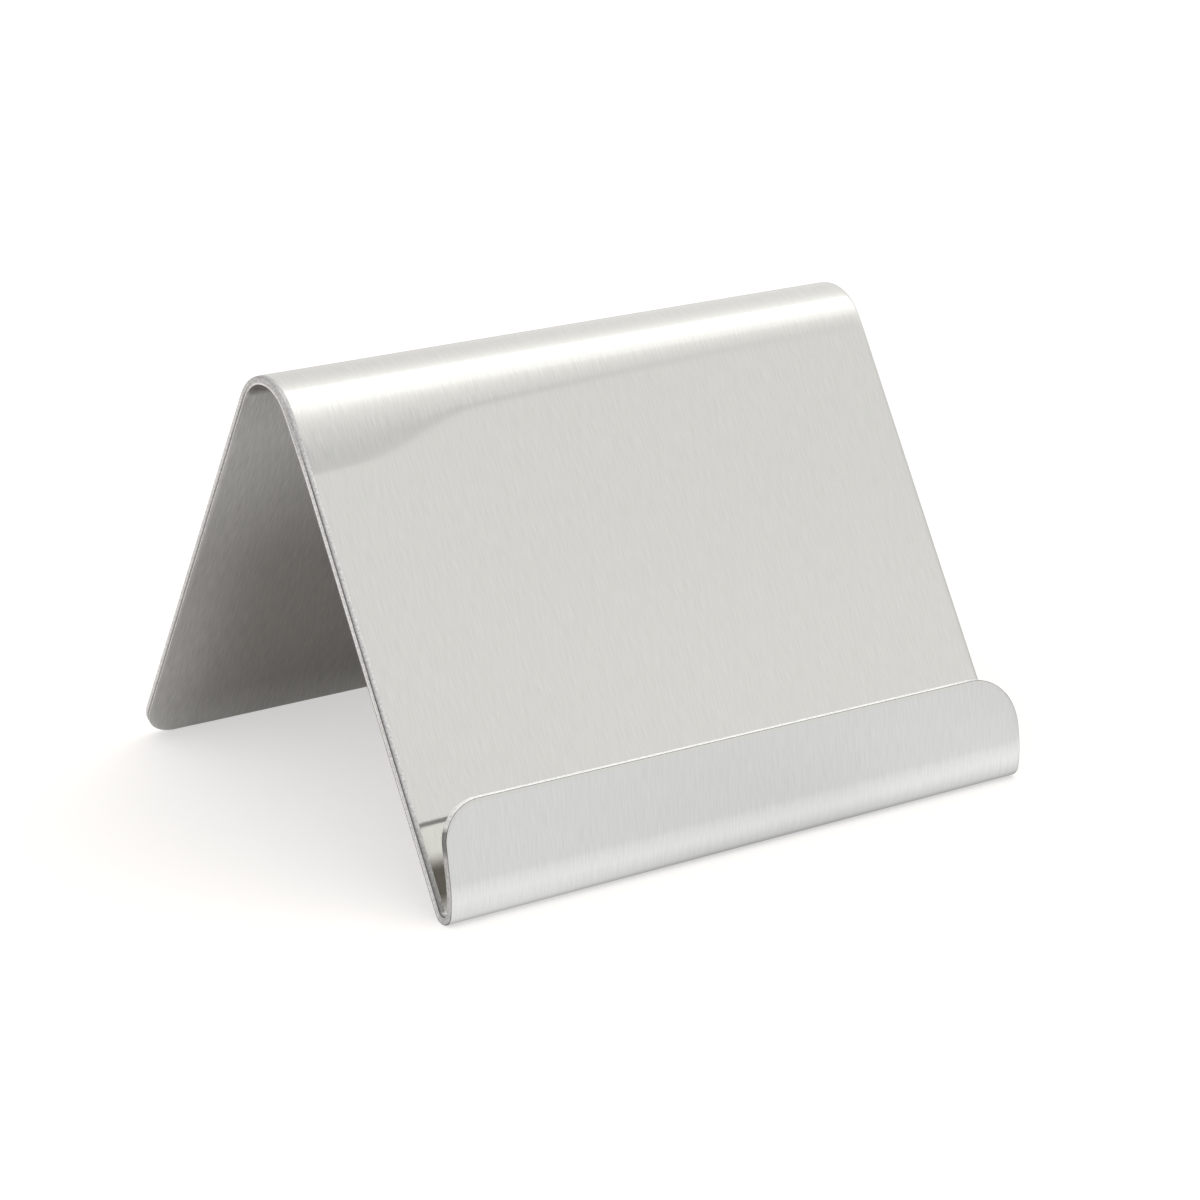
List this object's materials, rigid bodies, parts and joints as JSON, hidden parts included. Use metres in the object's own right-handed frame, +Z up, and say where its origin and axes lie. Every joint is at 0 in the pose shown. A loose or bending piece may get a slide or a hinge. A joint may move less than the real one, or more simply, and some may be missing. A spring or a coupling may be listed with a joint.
{
  "type": "place card holder",
  "caption": "Tent-shaped place card holder bent from a strip of brushed steel sheet, with a low folded-up lip at the front foot that holds the card's lower edge.",
  "frame": {"origin": "on the table, in the middle of the holder's footprint", "axes": "+X along the ridge, -Y towards the front where the card shows, +Z up"},
  "size_m": [0.06, 0.0544, 0.04],
  "materials": {
    "brushed_stainless_sheet": "brushed, grain across the ridge"
  },
  "bodies": {
    "root": {"folded_sheet": "brushed_stainless_sheet"}
  },
  "joints": []
}
